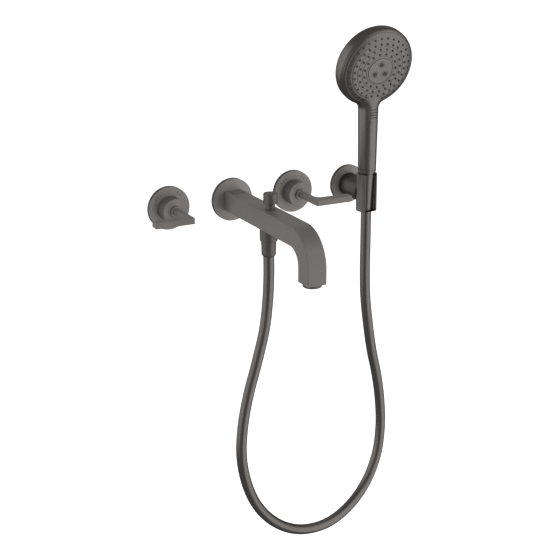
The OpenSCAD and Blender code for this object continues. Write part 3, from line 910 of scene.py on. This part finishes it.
def shell_outline():
    """Half section of the head's shell: a flat back, a quarter round, a rim and a front under the face."""
    low, rise = BACK_LOW + SHELL_ROUND, BACK_RISE - SHELL_ROUND
    quarter = [math.pi / 2 * k / 10 for k in range(11)]
    back = [(BACK_FLAT_R + BACK_REACH * math.sin(a), low + rise * (1 - math.cos(a))) for a in quarter]
    rim = [(r - SHELL_ROUND, z) for r, z in ((HEAD_R, -9.4), (59.7, -7.9), (58.9, -6.1), (57.4, -4.3))]
    front = [(r, face_height(r) - SHELL_REST - SHELL_ROUND)
             for r in (56.2, 53, 50, 47, 44, 40, 34, 27, DOME_START, 0)]
    return [(0, low)] + back + rim + front


SHELL = shell_outline()
FILLET = 9.0            # between handle and head
FOOT_EDGE = 0.5
HANDLE_FOOT = COLLAR_LOW + COLLAR_H + 0.35
NECK_Z = COLLAR_LOW + 104.5     # where the handle's rounded top starts


def hand_shower_distance(x, y, z):
    """Signed distance to the handle and the head's shell, run together by a fillet."""
    ox, oy = x - HOLDER_X, y - SLEEVE_Y
    across = np.sqrt(ox * ox + oy * oy)
    share = np.clip((z - HANDLE_FOOT) / (NECK_Z - HANDLE_FOOT - 10), 0, 1)
    radius = HANDLE_LOW_R + (HANDLE_TOP_R - HANDLE_LOW_R) * share
    above = np.maximum(z - NECK_Z, 0)
    handle = np.sqrt(across * across + above * above) - radius
    foot = HANDLE_FOOT - z
    corner = np.hypot(np.maximum(handle + FOOT_EDGE, 0), np.maximum(foot + FOOT_EDGE, 0)) - FOOT_EDGE
    handle = np.maximum(np.maximum(handle, foot), corner)
    tilt = math.radians(HEAD_TILT)
    dy, dz = y - HEAD_CENTRE.y, z - HEAD_CENTRE.z
    out = -dy * math.cos(tilt) - dz * math.sin(tilt)
    up = -dy * math.sin(tilt) + dz * math.cos(tilt)
    away = np.sqrt(ox * ox + up * up)
    head = outline_distance(away, out, SHELL) - SHELL_ROUND
    return smooth_min(handle, head, FILLET)


def slope(function, points, step=0.02):
    """The gradient of a distance function at some points."""
    parts = []
    for axis in range(3):
        shift = np.zeros(3)
        shift[axis] = step
        high, low = points + shift, points - shift
        parts.append((function(*high.T) - function(*low.T)) / (2 * step))
    return np.stack(parts, 1)


def implicit_solid(name, function, low, high, cell):
    """A closed mesh of the surface where function is zero, with one vertex in each cell that it crosses."""
    axes = [np.arange(lo, hi + cell, cell) for lo, hi in zip(low, high)]
    shape = [len(a) for a in axes]
    values = np.empty(shape)
    gy, gz = np.meshgrid(axes[1], axes[2], indexing="ij")
    for i, x in enumerate(axes[0]):
        values[i] = function(np.full(gy.shape, x), gy, gz)
    solid = values < 0
    corners = np.stack([solid[dx:shape[0] - 1 + dx, dy:shape[1] - 1 + dy, dz:shape[2] - 1 + dz]
                        for dx in (0, 1) for dy in (0, 1) for dz in (0, 1)])
    crossed = corners.any(0) & ~corners.all(0)
    index = np.full(crossed.shape, -1)
    cells = np.argwhere(crossed)
    index[tuple(cells.T)] = np.arange(len(cells))
    # each cell's vertex starts at the middle of the places where its edges cross the surface
    total, hits = np.zeros((len(cells), 3)), np.zeros((len(cells), 1))
    unit = np.eye(3, dtype=int)
    for axis in range(3):
        first, second = np.delete(unit, axis, 0)
        for a, b in ((0, 0), (0, 1), (1, 0), (1, 1)):
            start = cells + a * first + b * second
            end = start + unit[axis]
            va, vb = values[tuple(start.T)], values[tuple(end.T)]
            hit = (va < 0) != (vb < 0)
            share = np.where(hit, va / np.where(hit, va - vb, 1), 0)[:, None]
            total += np.where(hit[:, None], start + share * (end - start), 0)
            hits += hit[:, None]
    points = np.array(low) + total / hits * cell
    faces = []
    for axis in range(3):
        first, second = np.delete(unit, axis, 0)
        near = np.take(solid, range(shape[axis] - 1), axis)
        far = np.take(solid, range(1, shape[axis]), axis)
        edges = np.argwhere(near != far)
        inner = (edges > 0) & (edges < np.array(shape) - 1)
        edges = edges[np.delete(inner, axis, 1).all(1)]
        faces.append(np.stack([index[tuple((edges - a * first - b * second).T)]
                               for a, b in ((0, 0), (1, 0), (1, 1), (0, 1))], 1))
    quads = np.concatenate(faces)
    quads = quads[(quads >= 0).all(1)]
    # even the mesh out along the surface, and move it on to the surface
    for _ in range(3):
        total, count = np.zeros_like(points), np.zeros((len(points), 1))
        for k in range(4):
            for neighbour in ((k + 1) % 4, (k + 3) % 4):
                np.add.at(total, quads[:, k], points[quads[:, neighbour]])
                np.add.at(count, quads[:, k], 1)
        points = 0.5 * points + 0.5 * total / np.maximum(count, 1)
        for _ in range(3):
            gradient = slope(function, points)
            size = np.maximum((gradient ** 2).sum(1), 0.04)
            points = points - np.clip((function(*points.T) / size)[:, None] * gradient, -cell, cell)
    return add_object(name, points.tolist(), [tuple(q) for q in quads.tolist()], 60)


BODY_LOW = (HOLDER_X - (HEAD_R + 3), -108, HANDLE_FOOT - 3)
BODY_HIGH = (HOLDER_X + (HEAD_R + 3), -38, 248)
QUICK_CELL, FULL_CELL = 1.6, 0.95


def make_body():
    """The handle and the head's shell as one smooth surface."""
    cell = FULL_CELL
    body = implicit_solid("hand_shower_body", hand_shower_distance, BODY_LOW, BODY_HIGH, cell)
    finish(body, "hand_shower", "plated_plastic", coat_head, "handle_shell", "head_shell")


def make_collar():
    """The ring at the handle's foot, with a thin step into the handle."""
    top, inner = COLLAR_LOW + COLLAR_H, HANDLE_LOW_R - 0.6
    outline = [(NUT_BORE_R, COLLAR_LOW), (HANDLE_LOW_R, COLLAR_LOW, 0.4), (HANDLE_LOW_R, top, 0.3),
               (inner, top + 0.1), (inner, top + 0.8), (NUT_BORE_R, top + 0.8)]
    make_turned("handle_collar_turned", outline, ON_SLEEVE, "hand_shower", "plated_plastic", coat_nut,
                "handle_collar", steps=4)


# each nozzle ring's radius, count and first angle, and the radii of the engraved circles
RINGS = [(48.6, 30, -84), (40.8, 26, 0), (33.2, 20, -81), (25.8, 15, -90)]
ENGRAVED = [52.4, 44.8, 37.0, 29.5, 22.6]
FACE_R = 56.2
DISC_R = 19.5


def face_outline():
    """Half section of the spray face: domed, with thin engraved circles, and a rounded edge."""
    depth, spread, fine_step, coarse_step = 0.32, 0.42, 0.16, 0.7
    points = [(19.9, -4.9), (19.9, 4.6)]
    r = 20.3
    while r < FACE_R - 0.1:
        cuts = sum(math.exp(-((r - line) / spread) ** 2) for line in ENGRAVED)
        points.append((r, face_height(r) - depth * cuts))
        r += fine_step if any(abs(r - line) < 1 for line in ENGRAVED) else coarse_step
    return points + [(FACE_R, face_height(FACE_R) - 0.2), (FACE_R + 0.1, -4.9)]


def make_face():
    face = lathe("spray_face_turned", face_outline(), ON_HEAD, WIDE_FINE, 50)
    finish(face, "hand_shower", "plated_plastic", coat_head, "spray_face")
    disc_outline = rounded([(0, 0), (DISC_R, 0), (DISC_R, 5.5, 0.6), (0, 5.9)])
    disc = lathe("centre_disc_turned", disc_outline, ON_HEAD, FINE, 50)
    finish(disc, "hand_shower", "plated_plastic", coat_head, "centre_disc")


# the stems' dark silicone also stands for painted shade on the nozzle walls; the lighter ring on each tip is
# a painted highlight
STEM_OUTLINE = rounded([(0, -0.8), (1.8, -0.8), (1.65, 1.0, 0.35), (0, 1.1)], 3)
TIP_HIGHLIGHT_OUTLINE = rounded([(0.65, 0.9), (1.2, 0.9), (1.15, 1.3, 0.12), (0.7, 1.3, 0.1)], 2)


def make_nozzles(name, rings, *nodes):
    """Rings of soft nozzles, each a dark stem with a lighter tip, square to the domed face. The stems' dark
    is partly the silicone's own colour and partly painted shade on the nozzle walls; the lighter tip ring is
    a painted highlight.
    """
    stems, tips = [], []
    for radius, count, start in rings:
        slant = math.atan2(face_height(radius - 0.5) - face_height(radius + 0.5), 1)
        seat = Matrix.Translation((radius, 0, face_height(radius))) @ Matrix.Rotation(slant, 4, "Y")
        for i in range(count):
            angle = math.radians(start) + 2 * math.pi * i / count
            place = ON_HEAD @ Matrix.Rotation(angle, 4, "Z") @ seat
            stems.append(lathe("stem", STEM_OUTLINE, place, 16, 60))
            tips.append(lathe("tip", TIP_HIGHLIGHT_OUTLINE, place, 16, 60))
    finish(joined(name, stems), "hand_shower", "silicone_nozzle", silicone, *nodes)
    finish(joined(f"{name}_tips", tips), "hand_shower", "silicone_nozzle", nozzle_rubber)


CENTRE_NOZZLE_R, DISC_TOP = 9.4, 5.8


def make_centre_nozzles():
    """Three dark inserts in the centre disc, each with a ring of blades round a pin."""
    blade = [(1.5, -0.2), (2.6, -0.2), (2.6, 0.2), (1.5, 0.2)]
    cups, blades = [], []
    for i in range(3):
        angle = math.radians(90 + 120 * i)
        place = ON_HEAD @ Matrix.Rotation(angle, 4, "Z") @ Matrix.Translation((CENTRE_NOZZLE_R, 0, DISC_TOP))
        cups.append(lathe("cup", [(0, -1.6), (3.4, -1.6), (3.4, 0.02), (0, 0.02)], place, 48))
        cups.append(lathe("ring", [(4.6, -1.5), (4.9, -1.5), (4.9, 0.05), (4.6, 0.05)], place, 48))
        for k in range(6):
            turn = place @ Matrix.Rotation(math.radians(60 * k), 4, "Z")
            blades.append(prism("blade", blade, -0.8, 0.22, turn, 0.08))
        blades.append(lathe("pin", rounded([(0, -1), (0.6, -1), (0.6, 0.3, 0.25), (0, 0.3)], 3), place, 24))
    finish(joined("centre_nozzles_detailed", cups), "hand_shower", "silicone_nozzle", black_plastic,
           "centre_nozzles")
    finish(joined("centre_nozzle_blades", blades), "hand_shower", "silicone_nozzle", nozzle_rubber)


KEY_HALF_W, KEY_HALF_H = 6.6, 12.4
KEY_END_R = 5.5
KEY_R = HANDLE_TOP_R + 0.35         # the key stands just proud of the neck
KEY_INNER_R = HANDLE_TOP_R - 0.5
KEY_EDGE, KEY_EDGE_DROP = 0.5, 0.45
KEY_COLUMNS, KEY_ROWS = 24, 60
# the ridges are black as painted shade, standing for the shadowed grooves across the key
RIDGE_HEIGHTS = (125.2, 120.8, 117.2, 113.5)
RIDGE_HALF_ANGLE = 23
RIDGE_R = 0.55


def key_points():
    """Two layers of points, outside and inside, in rows that get shorter at the key's rounded ends."""
    middle_z = middle("spray_button").z
    points = []
    for layer in (0, 1):
        for j in range(KEY_ROWS + 1):
            z = -KEY_HALF_H + 2 * KEY_HALF_H * j / KEY_ROWS
            over = max(abs(z) - (KEY_HALF_H - KEY_END_R), 0)
            width = KEY_HALF_W - KEY_END_R + math.sqrt(max(KEY_END_R ** 2 - over ** 2, 0.02))
            for i in range(KEY_COLUMNS + 1):
                x = -width + 2 * width * i / KEY_COLUMNS
                rim = min(width - abs(x), KEY_HALF_H - abs(z))
                outside = KEY_R - KEY_EDGE_DROP * max(0, 1 - rim / KEY_EDGE) ** 2
                radius = outside if layer == 0 else KEY_INNER_R
                points.append((HOLDER_X + x, SLEEVE_Y - math.sqrt(radius ** 2 - x * x), middle_z + z))
    return points


def key_faces():
    """The faces of the two layers, and the walls between them."""
    def at(layer, j, i):
        return (layer * (KEY_ROWS + 1) + j) * (KEY_COLUMNS + 1) + i

    faces = []
    for j in range(KEY_ROWS):
        for i in range(KEY_COLUMNS):
            faces.append((at(0, j, i), at(0, j, i + 1), at(0, j + 1, i + 1), at(0, j + 1, i)))
            faces.append((at(1, j, i), at(1, j + 1, i), at(1, j + 1, i + 1), at(1, j, i + 1)))
        for i in (0, KEY_COLUMNS):
            faces.append((at(0, j, i), at(0, j + 1, i), at(1, j + 1, i), at(1, j, i)))
    for i in range(KEY_COLUMNS):
        for j in (0, KEY_ROWS):
            faces.append((at(0, j, i), at(0, j, i + 1), at(1, j, i + 1), at(1, j, i)))
    return faces


def make_button():
    """A curved key on the neck with four dark ridges, whose black is painted shade standing for the shadowed
    grooves across the key.
    """
    button = add_object("spray_button_key", key_points(), key_faces(), 50)
    finish(button, "button", "plated_plastic", coat_head, "spray_button")
    turns = [math.radians(a) for a in range(-RIDGE_HALF_ANGLE, RIDGE_HALF_ANGLE + 1, 2)]
    out = [Vector((math.sin(a), -math.cos(a), 0)) for a in turns]
    frames = [(o, Vector((0, 0, 1))) for o in out]
    bars = []
    for z in RIDGE_HEIGHTS:
        line = [Vector((HOLDER_X, SLEEVE_Y, z)) + o * (KEY_R + 0.05) for o in out]
        bars.append(sweep("bar", line, frames, circle(RIDGE_R, 10)))
    finish(joined("spray_button_shaded_ridges", bars), "button", "dark_plastic", black_plastic)


make_body()
make_collar()
make_face()
make_nozzles("outer_nozzles_detailed", RINGS[:2], "outer_nozzle_rings")
make_nozzles("inner_nozzles_detailed", RINGS[2:], "inner_nozzle_rings")
make_centre_nozzles()
make_button()

# -------- CAD pieces that stay, with their materials

CAD_MATERIALS = {
    "brass_parts": brass, "ceramic": ceramic, "dark_steel": black_steel, "spring_steel": steel,
    "rubber_seal": rubber, "dark_plastic": black_plastic, "inner_plastic": white_plastic,
    "brushed_metal": coat_plain, "plated_plastic": coat_head, "silicone_nozzle": silicone,
    "hose_cover": coat_hose,
}
for part in frame["record"]["subparts"]:
    piece = frame["nodes"][part["node"]]
    for slot in piece.material_slots:
        slot.material = CAD_MATERIALS[part["material_slot"]]

# -------- floor, backdrop and lights


def make_stage():
    """A pale floor that curves up into a pale backdrop all round the object."""
    floor_z, wide, high, curve = -780, 6500, 5500, 1500
    outline = [(0, floor_z), (wide - curve, floor_z)]
    outline += [(wide - curve + curve * math.sin(a), floor_z + curve - curve * math.cos(a))
                for a in (math.pi / 2 * k / 12 for k in range(1, 13))]
    outline += [(wide, high), (0, high + 1500)]
    stage = lathe("pale_stage", outline, sides=96)
    material, tree, shader = new_material("pale_stage")
    shader.inputs["Base Color"].default_value = (0.9, 0.9, 0.9, 1)
    shader.inputs["Roughness"].default_value = 0.9
    shader.inputs["Emission Color"].default_value = (1, 1, 1, 1)
    shader.inputs["Emission Strength"].default_value = 1.0
    dress(stage, material)
    stage.visible_glossy = False
    stage.visible_diffuse = False
    stage.visible_shadow = False


LAMP_DISTANCE = 2200
WORLD_STRENGTH = 0.20


def softbox(name, azimuth, low_z, high_z, width, brightness):
    """A large upright light panel facing the object, which reflections show and the camera doesn't."""
    a = math.radians(azimuth)
    target = Vector((50, -80, (low_z + high_z) / 2))
    place = target + Vector((math.sin(a), -math.cos(a), 0)) * LAMP_DISTANCE
    data = bpy.data.lights.new(name, "AREA")
    data.shape = "RECTANGLE"
    data.size, data.size_y = width * MM, (high_z - low_z) * MM
    data.energy = brightness * math.pi * data.size * data.size_y
    aimed(name, data, place, target - place).visible_camera = False


def make_lights():
    world = bpy.data.worlds.new("studio")
    bpy.context.scene.world = world
    world.use_nodes = True
    background = world.node_tree.nodes["Background"]
    background.inputs["Color"].default_value = (1, 1, 1, 1)
    background.inputs["Strength"].default_value = WORLD_STRENGTH
    softbox("right_softbox", azimuth=44, low_z=-3200, high_z=2600, width=3800, brightness=0.80)
    softbox("left_softbox", azimuth=-110, low_z=-1200, high_z=2000, width=5000, brightness=0.62)
    softbox("back_softbox", azimuth=150, low_z=0, high_z=2600, width=3000, brightness=0.22)


make_stage()
make_lights()
bpy.context.scene.view_settings.view_transform = "Standard"
